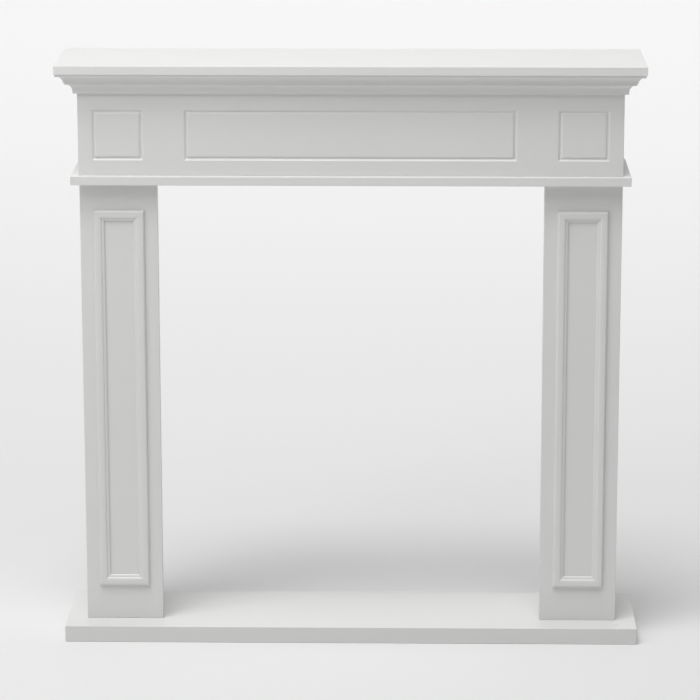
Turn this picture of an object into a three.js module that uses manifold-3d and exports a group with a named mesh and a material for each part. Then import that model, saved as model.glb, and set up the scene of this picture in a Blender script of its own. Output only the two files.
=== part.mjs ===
// A white lacquered mantelpiece made of boards and mitred mouldings.
// From the floor up: a hearth board, two boxed legs with a framed panel each, a ledge board,
// a frieze box with three routed rectangles, a crown moulding and a shelf.
// Sizes are in millimetres. X runs across the front, Y from the room to the wall, Z up.
// The origin is on the floor under the middle of the hearth board.

import * as THREE from 'three';
import Module from 'manifold-3d';
import { mergeVertices } from 'three/addons/utils/BufferGeometryUtils.js';

const wasm = await Module();
wasm.setup();

// Driving dimensions: the whole
const WIDTH = 1050;
const DEPTH = 210;
const BODY_INSET = 37.5;
const BOARD = 16;

// Driving dimensions: shelf, crown and frieze
const SHELF_THICKNESS = 16;
const CROWN_HEIGHT = 38;
const CROWN_PROJECTION = 35.5;
const FRIEZE_SHOWING = 149;

// Driving dimensions: the crown's section, from the shelf down
const CROWN_TOP_FILLET = 4;
const CROWN_TOP_QUIRK = 1.5;
const UPPER_COVE_DEPTH = 12;
const UPPER_COVE_HEIGHT = 13;
const MIDDLE_QUIRK = 2;
const MIDDLE_FILLET = 3;
const LOWER_COVE_HEIGHT = 15;
const CROWN_LIP = 7;
const LOWER_COVE_SETBACK = 1;
const COVE_SEGMENTS = 10;

// Driving dimensions: the routed rectangles, measured at the middle of the groove
const GROOVE_WIDTH = 8;
const GROOVE_DEPTH = 4;
const RECTANGLE_DROP = 34;
const RECTANGLE_HEIGHT = 84;
const RECTANGLE_MARGIN = 29;
const SQUARE_WIDTH = 84;
const RECTANGLE_SPACING = 81;
const CUTTER_RISE = 1;

// Driving dimensions: the ledge
const LEDGE_THICKNESS = 16;
const LEDGE_OVERHANG = 14;

// Driving dimensions: the legs
const LEG_WIDTH = 140;
const LEG_HEIGHT = 821;
const LEG_SETBACK = 11.5;
const INNER_REBATE = 20;

// Driving dimensions: the panel mouldings on the legs
const PANEL_SIDE_MARGIN = 24;
const PANEL_TOP_MARGIN = 50;
const PANEL_BOTTOM_MARGIN = 65;
const MOULDING_WIDTH = 20;
const MOULDING_PROJECTION = 6;
const MOULDING_OUTER_ROUND = 4.5;
const MOULDING_FLAT = 5.5;
const MOULDING_STEP = 1;
const ROUND_SEGMENTS = 6;

// Driving dimension: the hearth
const HEARTH_THICKNESS = 30;

// The glue line behind an applied moulding, and the fine joint at each mitre
const GLUE_LINE = 0.3;
const MITRE_GAP = 0.3;

// Places worked out from the sizes above
const FRONT = -DEPTH / 2;
const WALL = DEPTH / 2;
const BODY_WIDTH = WIDTH - 2 * BODY_INSET;
const FRIEZE_FACE = FRONT + BODY_INSET;
const LEG_FACE = FRIEZE_FACE + LEG_SETBACK;
const LEDGE_FACE = FRIEZE_FACE - LEDGE_OVERHANG;
const LEDGE_WIDTH = BODY_WIDTH + 2 * LEDGE_OVERHANG;
const LEG_BASE = HEARTH_THICKNESS;
const LEDGE_BASE = LEG_BASE + LEG_HEIGHT;
const FRIEZE_BASE = LEDGE_BASE + LEDGE_THICKNESS;
const FRIEZE_HEIGHT = FRIEZE_SHOWING + CROWN_HEIGHT;
const SHELF_BASE = FRIEZE_BASE + FRIEZE_HEIGHT;

const FINISH = { color: 0xe9e9e7, roughness: 0.35, metalness: 0 };

function namedMesh(name, geometry) {
  const mesh = new THREE.Mesh(geometry, new THREE.MeshStandardMaterial(FINISH));
  mesh.name = name;
  return mesh;
}

// A plain board between two corners.
function board(name, low, high) {
  const size = high.clone().sub(low);
  const mesh = namedMesh(name, new THREE.BoxGeometry(size.x, size.y, size.z));
  mesh.position.copy(low).add(high).multiplyScalar(0.5);
  return mesh;
}

// Points on a quarter of an ellipse, from one angle to another, both ends included.
function quarterArc(centreOffset, centreHeight, radiusOffset, radiusHeight, startAngle, endAngle, segments) {
  const points = [];
  for (let i = 0; i <= segments; i += 1) {
    const angle = startAngle + ((endAngle - startAngle) * i) / segments;
    const offset = centreOffset + radiusOffset * Math.cos(angle);
    const height = centreHeight + radiusHeight * Math.sin(angle);
    points.push(new THREE.Vector2(offset, height));
  }
  return points;
}

// A straight length of moulding along X. A section point is (offset, height): offset runs towards -Y,
// height towards +Z. At each end the length grows by slope times the offset, which cuts the mitre.
function mouldingGeometry(section, length, startSlope, endSlope) {
  const geometry = new THREE.ExtrudeGeometry(new THREE.Shape(section), {
    depth: 1,
    steps: 1,
    bevelEnabled: false,
  });
  const position = geometry.getAttribute('position');
  for (let i = 0; i < position.count; i += 1) {
    const offset = position.getX(i);
    const height = position.getY(i);
    const atStart = position.getZ(i) > 0.5;
    const reach = length / 2 + offset * (atStart ? startSlope : endSlope);
    position.setXYZ(i, atStart ? -reach : reach, -offset, height);
  }
  geometry.computeVertexNormals();
  return geometry;
}

// A closed ring of the section, swept round a rectangle in the XZ plane and mitred at its corners.
// Offset runs inwards from the rectangle, height runs from the face towards the room.
function ringGeometry(section, centreX, centreZ, width, height, face) {
  const corners = [[-1, -1], [1, -1], [1, 1], [-1, 1]];
  const vertices = [];
  for (const [sideX, sideZ] of corners) {
    for (const point of section) {
      const x = centreX + sideX * (width / 2 - point.x);
      const z = centreZ + sideZ * (height / 2 - point.x);
      vertices.push(x, face - point.y, z);
    }
  }
  const triangles = [];
  for (let corner = 0; corner < corners.length; corner += 1) {
    const here = corner * section.length;
    const there = ((corner + 1) % corners.length) * section.length;
    for (let i = 0; i < section.length; i += 1) {
      const next = (i + 1) % section.length;
      triangles.push(here + i, there + i, there + next);
      triangles.push(here + i, there + next, here + next);
    }
  }
  const geometry = new THREE.BufferGeometry();
  geometry.setAttribute('position', new THREE.Float32BufferAttribute(vertices, 3));
  geometry.setIndex(triangles);
  return geometry;
}

function toSolid(geometry) {
  const bare = geometry.clone();
  bare.deleteAttribute('normal');
  bare.deleteAttribute('uv');
  const merged = mergeVertices(bare);
  return new wasm.Manifold(new wasm.Mesh({
    numProp: 3,
    vertProperties: new Float32Array(merged.getAttribute('position').array),
    triVerts: new Uint32Array(merged.index.array),
  }));
}

function toGeometry(solid) {
  const mesh = solid.getMesh();
  const geometry = new THREE.BufferGeometry();
  geometry.setAttribute('position', new THREE.BufferAttribute(mesh.vertProperties, 3));
  geometry.setIndex(new THREE.BufferAttribute(mesh.triVerts, 1));
  geometry.computeVertexNormals();
  return geometry;
}

// The shelf and the hearth share their width and depth.
function makeShelf() {
  const low = new THREE.Vector3(-WIDTH / 2, FRONT, SHELF_BASE);
  const high = new THREE.Vector3(WIDTH / 2, WALL, SHELF_BASE + SHELF_THICKNESS);
  return board('mantel_shelf', low, high);
}

function makeHearth() {
  const low = new THREE.Vector3(-WIDTH / 2, FRONT, 0);
  const high = new THREE.Vector3(WIDTH / 2, WALL, HEARTH_THICKNESS);
  return board('hearth_board', low, high);
}

function makeLedge() {
  const low = new THREE.Vector3(-LEDGE_WIDTH / 2, LEDGE_FACE, LEDGE_BASE);
  const high = new THREE.Vector3(LEDGE_WIDTH / 2, WALL, FRIEZE_BASE);
  return board('ledge_board', low, high);
}

// The crown's section: a fillet, a cove, a second fillet, a second cove and a lip over a flat underside.
function crownSection() {
  const underFillet = -CROWN_TOP_FILLET;
  const upperFoot = underFillet - UPPER_COVE_HEIGHT;
  const upperNose = CROWN_PROJECTION - CROWN_TOP_QUIRK;
  const middleNose = upperNose - UPPER_COVE_DEPTH - MIDDLE_QUIRK;
  const lowerTop = upperFoot - MIDDLE_FILLET;
  const lowerNose = middleNose - LOWER_COVE_SETBACK;
  const lowerFoot = lowerTop - LOWER_COVE_HEIGHT;
  const upperCove = quarterArc(
    upperNose, upperFoot, UPPER_COVE_DEPTH, UPPER_COVE_HEIGHT, Math.PI / 2, Math.PI, COVE_SEGMENTS,
  );
  const lowerCove = quarterArc(
    lowerNose, lowerFoot, lowerNose - CROWN_LIP, LOWER_COVE_HEIGHT, Math.PI / 2, Math.PI, COVE_SEGMENTS,
  );
  return [
    new THREE.Vector2(GLUE_LINE, 0),
    new THREE.Vector2(GLUE_LINE, -CROWN_HEIGHT),
    new THREE.Vector2(CROWN_LIP, -CROWN_HEIGHT),
    ...lowerCove.reverse(),
    new THREE.Vector2(middleNose, lowerTop),
    new THREE.Vector2(middleNose, upperFoot),
    ...upperCove.reverse(),
    new THREE.Vector2(CROWN_PROJECTION, underFillet),
    new THREE.Vector2(CROWN_PROJECTION, 0),
  ];
}

// The front length is mitred at both ends. Each return is mitred at the front and square at the wall.
function makeCrown() {
  const group = new THREE.Group();
  const section = crownSection();
  const frontLength = BODY_WIDTH - MITRE_GAP;
  const front = namedMesh('crown_front', mouldingGeometry(section, frontLength, 1, 1));
  front.position.set(0, FRIEZE_FACE, SHELF_BASE);
  group.add(front);
  const returnLength = WALL - FRIEZE_FACE - MITRE_GAP / 2;
  const returnMiddle = WALL - returnLength / 2;
  const right = namedMesh('crown_right', mouldingGeometry(section, returnLength, 1, 0));
  right.rotation.z = Math.PI / 2;
  right.position.set(BODY_WIDTH / 2, returnMiddle, SHELF_BASE);
  const left = namedMesh('crown_left', mouldingGeometry(section, returnLength, 0, 1));
  left.rotation.z = -Math.PI / 2;
  left.position.set(-BODY_WIDTH / 2, returnMiddle, SHELF_BASE);
  group.add(right, left);
  return group;
}

// A V-shaped cutter section that stands proud of the face it cuts.
function grooveSection() {
  const topHalf = (GROOVE_WIDTH / 2) * (1 + CUTTER_RISE / GROOVE_DEPTH);
  return [
    new THREE.Vector2(-topHalf, CUTTER_RISE),
    new THREE.Vector2(topHalf, CUTTER_RISE),
    new THREE.Vector2(0, -GROOVE_DEPTH),
  ];
}

// The three routed rectangles: a square near each end and a long one between them.
function routedRectangles() {
  const squareCentre = BODY_WIDTH / 2 - RECTANGLE_MARGIN - SQUARE_WIDTH / 2;
  const longWidth = 2 * (squareCentre - SQUARE_WIDTH / 2 - RECTANGLE_SPACING);
  return [
    { centre: -squareCentre, width: SQUARE_WIDTH },
    { centre: 0, width: longWidth },
    { centre: squareCentre, width: SQUARE_WIDTH },
  ];
}

function makeFrieze() {
  const group = new THREE.Group();
  const half = BODY_WIDTH / 2;
  const back = FRIEZE_FACE + BOARD;
  const blank = board(
    'blank',
    new THREE.Vector3(-half, FRIEZE_FACE, FRIEZE_BASE),
    new THREE.Vector3(half, back, SHELF_BASE),
  );
  blank.updateMatrix();
  let solid = toSolid(blank.geometry.clone().applyMatrix4(blank.matrix));
  const centreZ = SHELF_BASE - CROWN_HEIGHT - RECTANGLE_DROP - RECTANGLE_HEIGHT / 2;
  for (const { centre, width } of routedRectangles()) {
    const ring = ringGeometry(grooveSection(), centre, centreZ, width, RECTANGLE_HEIGHT, FRIEZE_FACE);
    solid = solid.subtract(toSolid(ring));
  }
  group.add(namedMesh('frieze_front', toGeometry(solid)));
  group.add(board(
    'frieze_left',
    new THREE.Vector3(-half, back, FRIEZE_BASE),
    new THREE.Vector3(-half + BOARD, WALL, SHELF_BASE),
  ));
  group.add(board(
    'frieze_right',
    new THREE.Vector3(half - BOARD, back, FRIEZE_BASE),
    new THREE.Vector3(half, WALL, SHELF_BASE),
  ));
  return group;
}

// The panel moulding's section, from its outer edge inwards: a round, a flat, then two rounded steps.
function panelSection() {
  const slopeWidth = (MOULDING_WIDTH - MOULDING_OUTER_ROUND - MOULDING_FLAT) / 2;
  const stepHeight = (MOULDING_PROJECTION - MOULDING_STEP) / 2;
  const flatEnd = MOULDING_OUTER_ROUND + MOULDING_FLAT;
  const outerRound = quarterArc(
    MOULDING_OUTER_ROUND, MOULDING_STEP, MOULDING_OUTER_ROUND, MOULDING_PROJECTION - MOULDING_STEP,
    Math.PI, Math.PI / 2, ROUND_SEGMENTS,
  );
  const upperStep = quarterArc(
    flatEnd, MOULDING_PROJECTION - stepHeight, slopeWidth, stepHeight, Math.PI / 2, 0, ROUND_SEGMENTS,
  );
  const lowerStep = quarterArc(
    flatEnd + slopeWidth, MOULDING_STEP, slopeWidth, stepHeight, Math.PI / 2, 0, ROUND_SEGMENTS,
  );
  return [
    new THREE.Vector2(MOULDING_WIDTH, GLUE_LINE),
    ...lowerStep.reverse(),
    ...upperStep.reverse().slice(1),
    ...outerRound.reverse(),
    new THREE.Vector2(0, GLUE_LINE),
  ];
}

// Four mitred lengths round a panel. The group's origin is the panel's middle, on the leg's face.
function makePanelFrame(side, centreX) {
  const width = LEG_WIDTH - 2 * PANEL_SIDE_MARGIN;
  const height = LEG_HEIGHT - PANEL_TOP_MARGIN - PANEL_BOTTOM_MARGIN;
  const section = panelSection();
  const members = [
    { place: 'top', length: width, distance: height / 2 },
    { place: 'right', length: height, distance: width / 2 },
    { place: 'bottom', length: width, distance: height / 2 },
    { place: 'left', length: height, distance: width / 2 },
  ];
  const frame = new THREE.Group();
  members.forEach(({ place, length, distance }, index) => {
    const geometry = mouldingGeometry(section, length - MITRE_GAP, -1, -1);
    const mesh = namedMesh(`panel_${side}_${place}`, geometry);
    mesh.rotation.x = Math.PI / 2;
    mesh.position.z = distance;
    const turn = new THREE.Group();
    turn.rotation.y = (index * Math.PI) / 2;
    turn.add(mesh);
    frame.add(turn);
  });
  frame.position.set(centreX, LEG_FACE, LEG_BASE + PANEL_BOTTOM_MARGIN + height / 2);
  return frame;
}

// A leg is a box of three boards, open at the wall. The inner board stands back from the opening's edge.
function makeLeg(side, sign) {
  const group = new THREE.Group();
  const outer = BODY_WIDTH / 2;
  const inner = outer - LEG_WIDTH;
  const back = LEG_FACE + BOARD;
  const upright = (name, near, far, start, end) => {
    const low = new THREE.Vector3(Math.min(sign * near, sign * far), start, LEG_BASE);
    const high = new THREE.Vector3(Math.max(sign * near, sign * far), end, LEDGE_BASE);
    return board(name, low, high);
  };
  group.add(upright(`leg_${side}_front`, inner, outer, LEG_FACE, back));
  group.add(upright(`leg_${side}_outer`, outer - BOARD, outer, back, WALL));
  group.add(upright(`leg_${side}_inner`, inner + INNER_REBATE, inner + INNER_REBATE + BOARD, back, WALL));
  group.add(makePanelFrame(side, sign * (inner + LEG_WIDTH / 2)));
  return group;
}

const mantelpiece = new THREE.Group();
mantelpiece.add(makeHearth());
mantelpiece.add(makeLeg('left', -1));
mantelpiece.add(makeLeg('right', 1));
mantelpiece.add(makeLedge());
mantelpiece.add(makeFrieze());
mantelpiece.add(makeCrown());
mantelpiece.add(makeShelf());

export default mantelpiece;
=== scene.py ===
# The looks of a white lacquered mantelpiece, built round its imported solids.
# Lengths are in metres, in the part's own frame: X across the front, Y from the room to the wall, Z up.

import math

import bmesh
import bpy
from mathutils import Matrix, Vector


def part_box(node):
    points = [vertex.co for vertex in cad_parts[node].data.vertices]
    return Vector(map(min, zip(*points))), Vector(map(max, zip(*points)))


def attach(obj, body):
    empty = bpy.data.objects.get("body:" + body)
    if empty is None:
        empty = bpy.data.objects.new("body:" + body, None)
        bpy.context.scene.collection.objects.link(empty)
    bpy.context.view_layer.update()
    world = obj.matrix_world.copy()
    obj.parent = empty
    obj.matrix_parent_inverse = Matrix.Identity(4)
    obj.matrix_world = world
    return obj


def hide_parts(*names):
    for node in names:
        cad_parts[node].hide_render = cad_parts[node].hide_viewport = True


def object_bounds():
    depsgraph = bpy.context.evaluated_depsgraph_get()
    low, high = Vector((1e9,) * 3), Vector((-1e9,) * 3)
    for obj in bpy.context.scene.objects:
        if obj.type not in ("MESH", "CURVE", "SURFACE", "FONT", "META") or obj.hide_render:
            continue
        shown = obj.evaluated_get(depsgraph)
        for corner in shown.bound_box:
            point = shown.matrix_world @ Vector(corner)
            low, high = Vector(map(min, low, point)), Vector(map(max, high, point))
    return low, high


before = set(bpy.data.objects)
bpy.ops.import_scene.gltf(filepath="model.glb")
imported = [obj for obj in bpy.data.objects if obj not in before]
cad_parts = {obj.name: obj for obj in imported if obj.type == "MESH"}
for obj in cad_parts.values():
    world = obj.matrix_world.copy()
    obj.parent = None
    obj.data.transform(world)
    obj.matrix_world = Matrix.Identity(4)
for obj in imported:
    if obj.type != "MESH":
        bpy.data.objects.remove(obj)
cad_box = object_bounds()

MM = 0.001

# Eased arrises of the boards and the mouldings
BOARD_EASE = 0.9 * MM
BOARD_EASE_SEGMENTS = 4
MOULDING_EASE = 0.5 * MM
MOULDING_EASE_SEGMENTS = 3

# An eased corner takes up at most this share of the shorter side next to it
EASE_LIMIT = 0.45

# The least turn of an outline that is eased, edge of a board that is eased, and edge that is shaded sharp
SOFT_TURN = math.radians(30)
SQUARE_EDGE = math.radians(80)
SHARP_EDGE = math.radians(36)

# Vertices merge at this many decimals, and a face looks a given way above this cosine
MERGE_DIGITS = 7
SAME_WAY = 0.99

# The weight with which large faces set the shading along their edges
LEVEL_WEIGHT = 100

# The crown's section, from the shelf down
CROWN_TOP_FILLET = 4 * MM
CROWN_TOP_QUIRK = 1.5 * MM
UPPER_COVE_DEPTH = 12 * MM
UPPER_COVE_HEIGHT = 13 * MM
MIDDLE_QUIRK = 2 * MM
MIDDLE_FILLET = 3 * MM
LOWER_COVE_HEIGHT = 15 * MM
LOWER_COVE_SETBACK = 1 * MM
CROWN_LIP = 7 * MM
COVE_SEGMENTS = 24

# The panel moulding's section, from its outer edge inwards
PANEL_MOULDING_WIDTH = 20 * MM
PANEL_OUTER_ROUND = 4.5 * MM
PANEL_FLAT = 5.5 * MM
PANEL_STEP = 1 * MM
PANEL_ROUND_SEGMENTS = 12

# The routed rectangles, measured at the middle of the groove
GROOVE_HALF_WIDTH = 4 * MM
GROOVE_DEPTH = 3 * MM
GROOVE_EASE = 1 * MM
GROOVE_MARGIN = 1 * MM
RECTANGLE_DROP = 34 * MM
RECTANGLE_HEIGHT = 84 * MM
RECTANGLE_MARGIN = 29 * MM
SQUARE_WIDTH = 84 * MM
RECTANGLE_SPACING = 81 * MM

# The hairline left at each mitre
MITRE_HAIRLINE = 0.15 * MM

# The small dark scuff on the hearth, near its right front corner
SCUFF_FROM_SIDE = 37 * MM
SCUFF_FROM_FRONT = 23 * MM
SCUFF_HALF_LENGTH = 3.4 * MM
SCUFF_HALF_WIDTH = 1.3 * MM
SCUFF_WOBBLE_SCALE = 900
SCUFF_WOBBLE = 0.5
SCUFF_FADE = (1.15, 0.55)
SCUFF_STRENGTH = 0.75
SCUFF_ROUGHENING = 0.2

# Finish colours
LACQUER = (0.765, 0.763, 0.756, 1)
LACQUER_SHADE = (0.750, 0.748, 0.741, 1)
LACQUER_EDGE = (0.720, 0.716, 0.704, 1)
PRIMER = (0.700, 0.693, 0.672, 1)
PRIMER_SHADE = (0.645, 0.635, 0.610, 1)
SCUFF = (0.300, 0.295, 0.290, 1)
FLOOR = (0.780, 0.780, 0.780, 1)

# The parts of a noise's range that are stretched to the full range
WIDE_WINDOW = (0.2, 0.8)
NARROW_WINDOW = (0.3, 0.7)

# The lacquer's mean roughness and refraction, and the hearth board's painted shade: its lacquer made darker
# than the other boards' to stand in for the lesser light low down
LACQUER_ROUGHNESS = 0.38
HEARTH_ROUGHNESS = 0.325
HEARTH_PAINTED_SHADE = 0.94
LACQUER_IOR = 1.5

# The lacquer's variation: clouding, patches of roughness, a slow wave in the sheet and a fine peel
CLOUD_SCALE = 5
PATCH_SCALE = 14
PATCH_SPREAD = 0.03
WAVE_SCALE = 18
WAVE_DEPTH = 0.1 * MM
PEEL_SCALE = 320
PEEL_DEPTH = 0.012 * MM
LACQUER_BUMP = 0.3

# The thinner coat along the arrises
WEAR_RADIUS = 1.6 * MM
WEAR_SAMPLES = 8
WEAR_LEAN = 0.25
WEAR_SCALE = 12
WEAR_RANGE = (0.15, 0.3)
WEAR_ROUGHENING = 0.08

# The primer on hidden faces
COVER_SCALE = 9
COVER_WINDOW = (0.3, 0.75)
FIBRE_SCALE = 380
FIBRE_WINDOW = (0.35, 0.65)
STIPPLE_SCALE = 420
STIPPLE_DEPTH = 0.15 * MM
STIPPLE_BUMP = 0.5
PRIMER_ROUGHNESS = (0.66, 0.8)
PRIMER_IOR = 1.45

# The camera, at the viewing angle of the reference
TARGET_HEIGHT = 0.535
CAMERA_DISTANCE = 6.0
CAMERA_AZIMUTH = math.radians(1.06)
CAMERA_ELEVATION = math.radians(14)
AXIS_AZIMUTH = math.radians(1.084)
AXIS_ELEVATION = math.radians(13.198)
CAMERA_ROLL = math.radians(-0.052)
FIELD_OF_VIEW = math.radians(12.20)
SENSOR_WIDTH = 36
CAMERA_SHIFT = -0.07
CLIP_START = 0.1
CLIP_END = 500

# The floor, and the gap that keeps it clear of the underside
FLOOR_REACH = 45
FLOOR_GAP = 0.2 * MM
FLOOR_PATCH_SCALE = 0.8
FLOOR_ROUGHNESS = (0.72, 0.8)

# The light
KEY_TOWARDS = Vector((-0.15, -0.25, 0.95))
KEY_STRENGTH = 1.66
KEY_ANGLE = math.radians(30)
KEY_SPOT = (0, 0, 3)
SIDE_BOX_SPOT = Vector((-1.7, -1.2, 2.0))
SIDE_BOX_SIZE = (1.2, 1.2)
SIDE_BOX_POWER = 13
FRONT_BOX_SPOT = Vector((0, -1.0, 2.4))
FRONT_BOX_SIZE = (2.0, 1.0)
FRONT_BOX_POWER = 12
BACKDROP_BOX_SPOT = Vector((0, 26.5, 3.5))
BACKDROP_BOX_SIZE = (14, 50)
BACKDROP_BOX_POWER = 1550

# The side and front softboxes look at this share of the piece's height
BOX_AIM_SHARE = 0.85

# The surround: its strengths, the Y range over which it brightens and the Z range over which its band fades
SKY_STRENGTH = 0.08
HORIZON_STRENGTH = 0.40
BACKDROP_STRENGTH = 0.75
BACKDROP_BAND = (0, 0.7)
HORIZON_BAND = (0.08, 0.20)


# Meshes

def rounded(points, radius, segments, closed=True):
    """The outline with each corner that turns by more than SOFT_TURN eased to a curve."""
    eased = []
    last = len(points) - 1
    for index, corner in enumerate(points):
        if not closed and index in (0, last):
            eased.append(corner)
            continue
        before = points[index - 1] - corner
        after = points[0 if index == last else index + 1] - corner
        turn = math.pi - before.angle(after)
        if turn < SOFT_TURN:
            eased.append(corner)
            continue
        room = EASE_LIMIT * min(before.length, after.length)
        reach = min(radius * math.tan(turn / 2), room)
        start = corner + before.normalized() * reach
        end = corner + after.normalized() * reach
        for step in range(segments + 1):
            share = step / segments
            near = start.lerp(corner, share)
            far = corner.lerp(end, share)
            eased.append(near.lerp(far, share))
    return eased


def quarter_arc(centre, radii, start, end, segments):
    """Points on a quarter of an ellipse, both ends included."""
    points = []
    for step in range(segments + 1):
        angle = start + (end - start) * step / segments
        points.append(Vector((
            centre[0] + radii[0] * math.cos(angle),
            centre[1] + radii[1] * math.sin(angle),
        )))
    return points


def mesh_from(bm, name):
    bmesh.ops.recalc_face_normals(bm, faces=bm.faces)
    mesh = bpy.data.meshes.new(name)
    bm.to_mesh(mesh)
    bm.free()
    return mesh


def ease_square_edges(bm):
    edges = [edge for edge in bm.edges if edge.calc_face_angle() > SQUARE_EDGE]
    bmesh.ops.bevel(
        bm,
        geom=edges,
        offset=BOARD_EASE,
        offset_type="OFFSET",
        segments=BOARD_EASE_SEGMENTS,
        profile=0.5,
        affect="EDGES",
    )


def plain_board(node):
    """A board with eased arrises in the node's own box."""
    low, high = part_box(node)
    bm = bmesh.new()
    bmesh.ops.create_cube(bm, size=1)
    place = Matrix.Translation((low + high) / 2) @ Matrix.Diagonal((*(high - low), 1))
    bmesh.ops.transform(bm, matrix=place, verts=bm.verts)
    ease_square_edges(bm)
    return mesh_from(bm, node)


def groove_profile():
    """Across the groove, from outside to inside: (distance from its middle, depth)."""
    reach = GROOVE_HALF_WIDTH + GROOVE_MARGIN
    sharp = [
        Vector((reach, 0)),
        Vector((GROOVE_HALF_WIDTH, 0)),
        Vector((0, GROOVE_DEPTH)),
        Vector((-GROOVE_HALF_WIDTH, 0)),
        Vector((-reach, 0)),
    ]
    return rounded(sharp, GROOVE_EASE, MOULDING_EASE_SEGMENTS, closed=False)


def routed_board(node):
    """The frieze's front board, with three rectangles routed into its face."""
    low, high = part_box(node)
    crown_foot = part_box("crown_front")[0].z
    middle_z = crown_foot - RECTANGLE_DROP - RECTANGLE_HEIGHT / 2
    square_x = high.x - RECTANGLE_MARGIN - SQUARE_WIDTH / 2
    long_width = 2 * (square_x - SQUARE_WIDTH / 2 - RECTANGLE_SPACING)
    rectangles = [(-square_x, SQUARE_WIDTH), (0, long_width), (square_x, SQUARE_WIDTH)]
    profile = groove_profile()
    reach = profile[0].x

    bm = bmesh.new()
    made = {}

    def vertex(x, y, z):
        key = tuple(round(value, MERGE_DIGITS) for value in (x, y, z))
        if key not in made:
            made[key] = bm.verts.new((x, y, z))
        return made[key]

    def loop(middle, width, offset, depth):
        half_x = width / 2 + offset
        half_z = RECTANGLE_HEIGHT / 2 + offset
        corners = ((-1, -1), (1, -1), (1, 1), (-1, 1))
        return [
            vertex(middle + side_x * half_x, low.y + depth, middle_z + side_z * half_z)
            for side_x, side_z in corners
        ]

    def ring(middle, width):
        loops = [loop(middle, width, point.x, point.y) for point in profile]
        for outer, inner in zip(loops, loops[1:]):
            for here in range(4):
                there = (here + 1) % 4
                bm.faces.new((outer[here], outer[there], inner[there], inner[here]))
        bm.faces.new(loops[-1])

    columns = [low.x]
    for middle, width in rectangles:
        columns += [middle - width / 2 - reach, middle + width / 2 + reach]
    columns.append(high.x)
    half_height = RECTANGLE_HEIGHT / 2 + reach
    rows = [low.z, middle_z - half_height, middle_z + half_height, high.z]

    for column, (left, right) in enumerate(zip(columns, columns[1:])):
        for row, (foot, head) in enumerate(zip(rows, rows[1:])):
            if row == 1 and column % 2 == 1:
                ring(*rectangles[column // 2])
                continue
            bm.faces.new((
                vertex(left, low.y, foot),
                vertex(right, low.y, foot),
                vertex(right, low.y, head),
                vertex(left, low.y, head),
            ))

    back = [(low.x, low.z), (high.x, low.z), (high.x, high.z), (low.x, high.z)]
    bm.faces.new([vertex(x, high.y, z) for x, z in back])
    for z in (low.z, high.z):
        front = [vertex(x, low.y, z) for x in columns]
        bm.faces.new(front + [vertex(high.x, high.y, z), vertex(low.x, high.y, z)])
    for x in (low.x, high.x):
        front = [vertex(x, low.y, z) for z in rows]
        bm.faces.new(front + [vertex(x, high.y, high.z), vertex(x, high.y, low.z)])
    bmesh.ops.recalc_face_normals(bm, faces=bm.faces)
    ease_square_edges(bm)
    return mesh_from(bm, node)


def swept(name, section, length, start_slope, end_slope, place):
    """A straight length along X. A section point is (offset, height), and offset runs towards -Y.
    At each end the length grows by slope times the offset, which cuts the mitre."""
    bm = bmesh.new()
    rings = []
    for sign, slope in ((-1, start_slope), (1, end_slope)):
        ring = []
        for point in section:
            reach = length / 2 + point.x * slope
            ring.append(bm.verts.new((sign * reach, -point.x, point.y)))
        rings.append(ring)
        bm.faces.new(ring)
    start, end = rings
    for here in range(len(section)):
        there = (here + 1) % len(section)
        bm.faces.new((start[here], start[there], end[there], end[here]))
    bmesh.ops.transform(bm, matrix=place, verts=bm.verts)
    return mesh_from(bm, name)


def crown_section(projection, height):
    """A fillet, a cove, a second fillet, a second cove and a lip over a flat underside."""
    upper_foot = -CROWN_TOP_FILLET - UPPER_COVE_HEIGHT
    upper_nose = projection - CROWN_TOP_QUIRK
    middle_nose = upper_nose - UPPER_COVE_DEPTH - MIDDLE_QUIRK
    lower_top = upper_foot - MIDDLE_FILLET
    lower_nose = middle_nose - LOWER_COVE_SETBACK
    lower_foot = lower_top - LOWER_COVE_HEIGHT
    upper_cove = quarter_arc(
        (upper_nose, upper_foot), (UPPER_COVE_DEPTH, UPPER_COVE_HEIGHT),
        math.pi, math.pi / 2, COVE_SEGMENTS,
    )
    lower_cove = quarter_arc(
        (lower_nose, lower_foot), (lower_nose - CROWN_LIP, LOWER_COVE_HEIGHT),
        math.pi, math.pi / 2, COVE_SEGMENTS,
    )
    outline = [
        Vector((0, 0)),
        Vector((0, -height)),
        Vector((CROWN_LIP, -height)),
        *lower_cove,
        Vector((middle_nose, lower_top)),
        Vector((middle_nose, upper_foot)),
        *upper_cove,
        Vector((projection, -CROWN_TOP_FILLET)),
        Vector((projection, 0)),
    ]
    return rounded(outline, MOULDING_EASE, MOULDING_EASE_SEGMENTS)


def panel_section(projection):
    """A round, a flat, then two rounded steps down to the panel."""
    flat_end = PANEL_OUTER_ROUND + PANEL_FLAT
    step_width = (PANEL_MOULDING_WIDTH - flat_end) / 2
    step_height = (projection - PANEL_STEP) / 2
    outer_round = quarter_arc(
        (PANEL_OUTER_ROUND, PANEL_STEP), (PANEL_OUTER_ROUND, projection - PANEL_STEP),
        math.pi / 2, math.pi, PANEL_ROUND_SEGMENTS,
    )
    upper_step = quarter_arc(
        (flat_end, projection - step_height), (step_width, step_height),
        0, math.pi / 2, PANEL_ROUND_SEGMENTS,
    )
    lower_step = quarter_arc(
        (flat_end + step_width, PANEL_STEP), (step_width, step_height),
        0, math.pi / 2, PANEL_ROUND_SEGMENTS,
    )
    outline = [
        Vector((PANEL_MOULDING_WIDTH, 0)),
        *lower_step,
        *upper_step[1:],
        *outer_round,
        Vector((0, 0)),
    ]
    return rounded(outline, MOULDING_EASE, MOULDING_EASE_SEGMENTS)


# Materials

def new_material(name):
    material = bpy.data.materials.new(name)
    material.use_nodes = True
    tree = material.node_tree
    surface = tree.nodes["Principled BSDF"]
    return material, tree, surface


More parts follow.
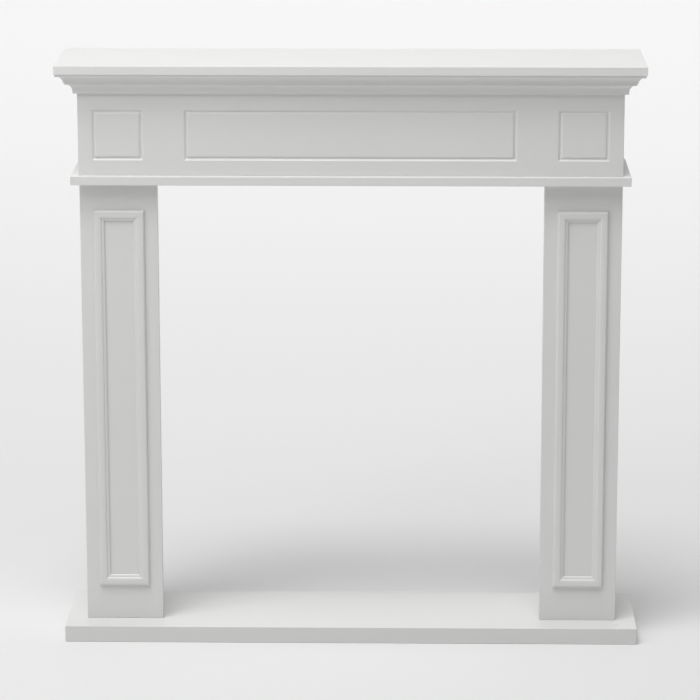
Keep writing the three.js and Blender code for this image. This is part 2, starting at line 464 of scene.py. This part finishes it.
def noise(tree, coordinates, scale, detail, roughness=0.5):
    node = tree.nodes.new("ShaderNodeTexNoise")
    node.inputs["Scale"].default_value = scale
    node.inputs["Detail"].default_value = detail
    node.inputs["Roughness"].default_value = roughness
    tree.links.new(coordinates, node.inputs["Vector"])
    return node.outputs["Fac"]


def remap(tree, value, source, target):
    node = tree.nodes.new("ShaderNodeMapRange")
    node.inputs["From Min"].default_value = source[0]
    node.inputs["From Max"].default_value = source[1]
    node.inputs["To Min"].default_value = target[0]
    node.inputs["To Max"].default_value = target[1]
    tree.links.new(value, node.inputs["Value"])
    return node.outputs["Result"]


def mix(tree, factor, low_colour, high_colour):
    """A colour between two others, each a socket or four plain numbers."""
    node = tree.nodes.new("ShaderNodeMix")
    node.data_type = "RGBA"
    tree.links.new(factor, node.inputs[0])
    for socket, colour in ((node.inputs[6], low_colour), (node.inputs[7], high_colour)):
        if isinstance(colour, bpy.types.NodeSocket):
            tree.links.new(colour, socket)
        else:
            socket.default_value = colour
    return node.outputs[2]


def combine(tree, operation, first, second):
    """A sum, product or other arithmetic of two values, the second a socket or a number."""
    node = tree.nodes.new("ShaderNodeMath")
    node.operation = operation
    tree.links.new(first, node.inputs[0])
    if isinstance(second, bpy.types.NodeSocket):
        tree.links.new(second, node.inputs[1])
    else:
        node.inputs[1].default_value = second
    return node.outputs[0]


def bump(tree, height, distance, strength, under=None):
    node = tree.nodes.new("ShaderNodeBump")
    node.inputs["Distance"].default_value = distance
    node.inputs["Strength"].default_value = strength
    tree.links.new(height, node.inputs["Height"])
    if under is not None:
        tree.links.new(under, node.inputs["Normal"])
    return node.outputs["Normal"]


def edge_mask(tree):
    """1 along the arrises and 0 on the flats, from how far a rounded normal leans from the real one."""
    soft = tree.nodes.new("ShaderNodeBevel")
    soft.samples = WEAR_SAMPLES
    soft.inputs["Radius"].default_value = WEAR_RADIUS
    geometry = tree.nodes.new("ShaderNodeNewGeometry")
    dot = tree.nodes.new("ShaderNodeVectorMath")
    dot.operation = "DOT_PRODUCT"
    tree.links.new(soft.outputs["Normal"], dot.inputs[0])
    tree.links.new(geometry.outputs["Normal"], dot.inputs[1])
    return remap(tree, dot.outputs["Value"], (1, 1 - WEAR_LEAN), (0, 1))


def scuff_mask(tree, coordinates):
    """1 inside a small smudged dash on the hearth's top, near its right front corner."""
    low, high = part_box("hearth_board")
    shift = tree.nodes.new("ShaderNodeMapping")
    shift.vector_type = "TEXTURE"
    shift.inputs["Location"].default_value = (
        high.x - SCUFF_FROM_SIDE, low.y + SCUFF_FROM_FRONT, high.z,
    )
    shift.inputs["Scale"].default_value = (SCUFF_HALF_LENGTH, SCUFF_HALF_WIDTH, SCUFF_HALF_WIDTH)
    tree.links.new(coordinates, shift.inputs["Vector"])
    length = tree.nodes.new("ShaderNodeVectorMath")
    length.operation = "LENGTH"
    tree.links.new(shift.outputs["Vector"], length.inputs[0])
    ripple = noise(tree, coordinates, SCUFF_WOBBLE_SCALE, detail=3)
    wobble = remap(tree, ripple, (0, 1), (-SCUFF_WOBBLE, SCUFF_WOBBLE))
    distance = combine(tree, "ADD", length.outputs["Value"], wobble)
    return remap(tree, distance, SCUFF_FADE, (0, SCUFF_STRENGTH))


def toned(colour, tone):
    """The colour made lighter or darker by the factor."""
    return (*(tone * channel for channel in colour[:3]), 1)


def roughened(tree, roughness, mask, amount):
    """The roughness, raised by the amount where the mask is 1."""
    return combine(tree, "ADD", roughness, combine(tree, "MULTIPLY", mask, amount))


def satin_lacquer(name, mean_roughness, tone=1, scuffed=False):
    """Sprayed white lacquer: a fine orange peel, faint clouding and a thinner coat along the arrises."""
    material, tree, surface = new_material(name)
    coordinates = tree.nodes.new("ShaderNodeTexCoord").outputs["Object"]
    clouds = remap(tree, noise(tree, coordinates, CLOUD_SCALE, detail=1), WIDE_WINDOW, (0, 1))
    # A tone below 1 darkens the whole colour as painted shade; only the hearth board's lacquer uses one
    colour = mix(tree, clouds, toned(LACQUER, tone), toned(LACQUER_SHADE, tone))
    edges = edge_mask(tree)
    wear = noise(tree, coordinates, WEAR_SCALE, detail=1)
    worn = combine(tree, "MULTIPLY", edges, remap(tree, wear, NARROW_WINDOW, WEAR_RANGE))
    colour = mix(tree, worn, colour, toned(LACQUER_EDGE, tone))
    patches = noise(tree, coordinates, PATCH_SCALE, detail=1)
    span = (mean_roughness - PATCH_SPREAD, mean_roughness + PATCH_SPREAD)
    roughness = remap(tree, patches, WIDE_WINDOW, span)
    roughness = roughened(tree, roughness, worn, WEAR_ROUGHENING)
    if scuffed:
        mark = scuff_mask(tree, coordinates)
        colour = mix(tree, mark, colour, SCUFF)
        roughness = roughened(tree, roughness, mark, SCUFF_ROUGHENING)
    tree.links.new(colour, surface.inputs["Base Color"])
    tree.links.new(roughness, surface.inputs["Roughness"])
    wave = bump(tree, noise(tree, coordinates, WAVE_SCALE, detail=1), WAVE_DEPTH, LACQUER_BUMP)
    peel = noise(tree, coordinates, PEEL_SCALE, detail=1)
    skin = bump(tree, peel, PEEL_DEPTH, LACQUER_BUMP, under=wave)
    tree.links.new(skin, surface.inputs["Normal"])
    surface.inputs["IOR"].default_value = LACQUER_IOR
    return material


def rolled_primer(name):
    """Matt primer rolled over bare fibreboard, with the fibre grinning through in places."""
    material, tree, surface = new_material(name)
    coordinates = tree.nodes.new("ShaderNodeTexCoord").outputs["Object"]
    blotches = noise(tree, coordinates, COVER_SCALE, detail=6, roughness=0.6)
    cover = remap(tree, blotches, COVER_WINDOW, (0, 1))
    grain = noise(tree, coordinates, FIBRE_SCALE, detail=4, roughness=0.7)
    fibres = remap(tree, grain, FIBRE_WINDOW, (0, 1))
    thin = combine(tree, "MULTIPLY", cover, fibres)
    tree.links.new(mix(tree, thin, PRIMER, PRIMER_SHADE), surface.inputs["Base Color"])
    tree.links.new(remap(tree, cover, (0, 1), PRIMER_ROUGHNESS), surface.inputs["Roughness"])
    nap = noise(tree, coordinates, STIPPLE_SCALE, detail=3)
    stipple = bump(tree, nap, STIPPLE_DEPTH, STIPPLE_BUMP)
    tree.links.new(stipple, surface.inputs["Normal"])
    surface.inputs["IOR"].default_value = PRIMER_IOR
    return material


def pale_floor(name):
    material, tree, surface = new_material(name)
    coordinates = tree.nodes.new("ShaderNodeTexCoord").outputs["Object"]
    patches = noise(tree, coordinates, FLOOR_PATCH_SCALE, detail=3)
    roughness = remap(tree, patches, NARROW_WINDOW, FLOOR_ROUGHNESS)
    tree.links.new(roughness, surface.inputs["Roughness"])
    surface.inputs["Base Color"].default_value = FLOOR
    return material


# Pieces


def add_piece(node, mesh, materials, primed=()):
    """Puts the mesh in the node's place. Faces that look one of the primed ways get the second material."""
    piece = bpy.data.objects.new(f"lacquered_{node}", mesh)
    bpy.context.scene.collection.objects.link(piece)
    for material in materials:
        mesh.materials.append(material)
    for polygon in mesh.polygons:
        polygon.use_smooth = True
        if any(polygon.normal.dot(Vector(way)) > SAME_WAY for way in primed):
            polygon.material_index = 1
    mesh.set_sharp_from_angle(angle=SHARP_EDGE)
    level = piece.modifiers.new("level flats", "WEIGHTED_NORMAL")
    level.keep_sharp = True
    level.weight = LEVEL_WEIGHT
    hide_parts(node)
    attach(piece, "root")


def add_boards(lacquer, hearth_painted_shade_lacquer, primer):
    to_wall = (0, 1, 0)
    add_piece("hearth_board", plain_board("hearth_board"), (hearth_painted_shade_lacquer, primer), (to_wall, (0, 0, -1)))
    add_piece("mantel_shelf", plain_board("mantel_shelf"), (lacquer, primer), (to_wall,))
    add_piece("ledge_board", plain_board("ledge_board"), (lacquer, primer), (to_wall,))
    add_piece("frieze_front", routed_board("frieze_front"), (lacquer, primer), (to_wall,))
    for side, sign in (("left", -1), ("right", 1)):
        outwards = (sign, 0, 0)
        inwards = (-sign, 0, 0)
        boards = (
            (f"frieze_{side}", inwards),
            (f"leg_{side}_front", to_wall),
            (f"leg_{side}_outer", inwards),
            (f"leg_{side}_inner", outwards),
        )
        for node, hidden_way in boards:
            add_piece(node, plain_board(node), (lacquer, primer), (to_wall, hidden_way))


def add_crown(lacquer, primer):
    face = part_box("frieze_front")[0].y
    half_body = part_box("frieze_front")[1].x
    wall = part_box("mantel_shelf")[1].y
    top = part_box("mantel_shelf")[0].z
    low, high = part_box("crown_front")
    section = crown_section(face - low.y, high.z - low.z)
    front = swept(
        "crown_front", section, 2 * half_body - MITRE_HAIRLINE, 1, 1,
        Matrix.Translation((0, face, top)),
    )
    add_piece("crown_front", front, (lacquer, primer))
    length = wall - face - MITRE_HAIRLINE / 2
    for side, sign in (("left", -1), ("right", 1)):
        node = f"crown_{side}"
        place = Matrix.Translation((sign * half_body, wall - length / 2, top))
        turn = Matrix.Rotation(sign * math.pi / 2, 4, "Z")
        start_slope, end_slope = (1, 0) if sign > 0 else (0, 1)
        mesh = swept(node, section, length, start_slope, end_slope, place @ turn)
        add_piece(node, mesh, (lacquer, primer), ((0, 1, 0),))


def add_panel_frames(lacquer):
    for side in ("left", "right"):
        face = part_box(f"leg_{side}_front")[0].y
        left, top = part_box(f"panel_{side}_left"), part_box(f"panel_{side}_top")
        right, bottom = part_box(f"panel_{side}_right"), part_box(f"panel_{side}_bottom")
        width = right[1].x - left[0].x
        height = top[1].z - bottom[0].z
        section = panel_section(face - top[0].y)
        middle = Vector((left[0].x + width / 2, face, bottom[0].z + height / 2))
        members = (
            ("top", width, height / 2),
            ("right", height, width / 2),
            ("bottom", width, height / 2),
            ("left", height, width / 2),
        )
        for index, (place, length, distance) in enumerate(members):
            node = f"panel_{side}_{place}"
            turn = Matrix.Rotation(index * math.pi / 2, 4, "Y")
            stand = Matrix.Translation((0, 0, distance)) @ Matrix.Rotation(math.pi / 2, 4, "X")
            matrix = Matrix.Translation(middle) @ turn @ stand
            mesh = swept(node, section, length - MITRE_HAIRLINE, -1, -1, matrix)
            add_piece(node, mesh, (lacquer,))


# Stage, light and camera

def add_floor():
    bm = bmesh.new()
    bmesh.ops.create_grid(bm, x_segments=1, y_segments=1, size=FLOOR_REACH)
    mesh = mesh_from(bm, "floor")
    if mesh.polygons[0].normal.z < 0:
        mesh.flip_normals()
    floor = bpy.data.objects.new("floor", mesh)
    floor.location.z = cad_box[0].z - FLOOR_GAP
    bpy.context.scene.collection.objects.link(floor)
    mesh.materials.append(pale_floor("pale_floor"))


def place_light(name, data, spot, towards):
    """Stands a light at the spot. It shines away from the direction it is seen in."""
    light = bpy.data.objects.new(name, data)
    light.location = spot
    light.rotation_euler = towards.to_track_quat("Z", "Y").to_euler()
    light.visible_camera = False
    bpy.context.scene.collection.objects.link(light)


def add_far_light(name, towards, strength, angle):
    data = bpy.data.lights.new(name, "SUN")
    data.energy = strength
    data.angle = angle
    place_light(name, data, KEY_SPOT, towards)


def add_softbox(name, spot, aim, size, power):
    data = bpy.data.lights.new(name, "AREA")
    data.shape = "RECTANGLE"
    data.size, data.size_y = size
    data.energy = power
    place_light(name, data, spot, spot - aim)


def add_lights():
    low, high = cad_box
    add_far_light("key", KEY_TOWARDS, KEY_STRENGTH, KEY_ANGLE)
    upper_middle = Vector((0, 0, BOX_AIM_SHARE * high.z))
    add_softbox("side_softbox", SIDE_BOX_SPOT, upper_middle, SIDE_BOX_SIZE, SIDE_BOX_POWER)
    add_softbox("front_softbox", FRONT_BOX_SPOT, upper_middle, FRONT_BOX_SIZE, FRONT_BOX_POWER)
    behind = Vector((BACKDROP_BOX_SPOT.x, BACKDROP_BOX_SPOT.y, low.z))
    add_softbox(
        "backdrop_softbox", BACKDROP_BOX_SPOT, behind, BACKDROP_BOX_SIZE, BACKDROP_BOX_POWER,
    )


def add_world():
    """A soft studio surround with a brighter band at the horizon, brightest behind the piece."""
    world = bpy.data.worlds.new("studio")
    world.use_nodes = True
    tree = world.node_tree
    background = tree.nodes["Background"]
    direction = tree.nodes.new("ShaderNodeTexCoord").outputs["Generated"]
    parts = tree.nodes.new("ShaderNodeSeparateXYZ")
    tree.links.new(direction, parts.inputs[0])
    band = remap(tree, parts.outputs["Z"], HORIZON_BAND, (1, 0))
    glow = remap(tree, parts.outputs["Y"], BACKDROP_BAND, (HORIZON_STRENGTH, BACKDROP_STRENGTH))
    strength = combine(tree, "ADD", combine(tree, "MULTIPLY", band, glow), SKY_STRENGTH)
    tree.links.new(strength, background.inputs["Strength"])
    background.inputs["Color"].default_value = (1, 1, 1, 1)
    bpy.context.scene.world = world


def direction_to(azimuth, elevation):
    """The unit vector from the object to a viewer in front of it, turned by azimuth and raised."""
    return Vector((
        math.sin(azimuth) * math.cos(elevation),
        -math.cos(azimuth) * math.cos(elevation),
        math.sin(elevation),
    ))


def add_camera():
    data = bpy.data.cameras.new("camera")
    data.sensor_width = SENSOR_WIDTH
    data.lens = SENSOR_WIDTH / 2 / math.tan(FIELD_OF_VIEW / 2)
    data.shift_y = CAMERA_SHIFT
    data.clip_start = CLIP_START
    data.clip_end = CLIP_END
    camera = bpy.data.objects.new("camera", data)
    back = direction_to(AXIS_AZIMUTH, AXIS_ELEVATION)
    right = Vector((0, 0, 1)).cross(back).normalized()
    up = back.cross(right)
    roll = Matrix.Rotation(CAMERA_ROLL, 3, back)
    axes = Matrix((roll @ right, roll @ up, back)).transposed()
    target = Vector((0, 0, TARGET_HEIGHT))
    spot = target + CAMERA_DISTANCE * direction_to(CAMERA_AZIMUTH, CAMERA_ELEVATION)
    camera.matrix_world = Matrix.Translation(spot) @ axes.to_4x4()
    bpy.context.scene.collection.objects.link(camera)
    bpy.context.scene.camera = camera


lacquer = satin_lacquer("satin_white_lacquer", LACQUER_ROUGHNESS)
# The hearth's lacquer is glossier, carries the scuff and is darkened all over as painted shade
hearth_painted_shade_lacquer = satin_lacquer("hearth_lacquer_painted_shade", HEARTH_ROUGHNESS, HEARTH_PAINTED_SHADE, scuffed=True)
primer = rolled_primer("white_primer")
add_boards(lacquer, hearth_painted_shade_lacquer, primer)
add_crown(lacquer, primer)
add_panel_frames(lacquer)
add_floor()
add_lights()
add_world()
add_camera()
bpy.context.scene.view_settings.view_transform = "Standard"
bpy.context.scene.view_settings.look = "None"

bpy.context.view_layer.update()
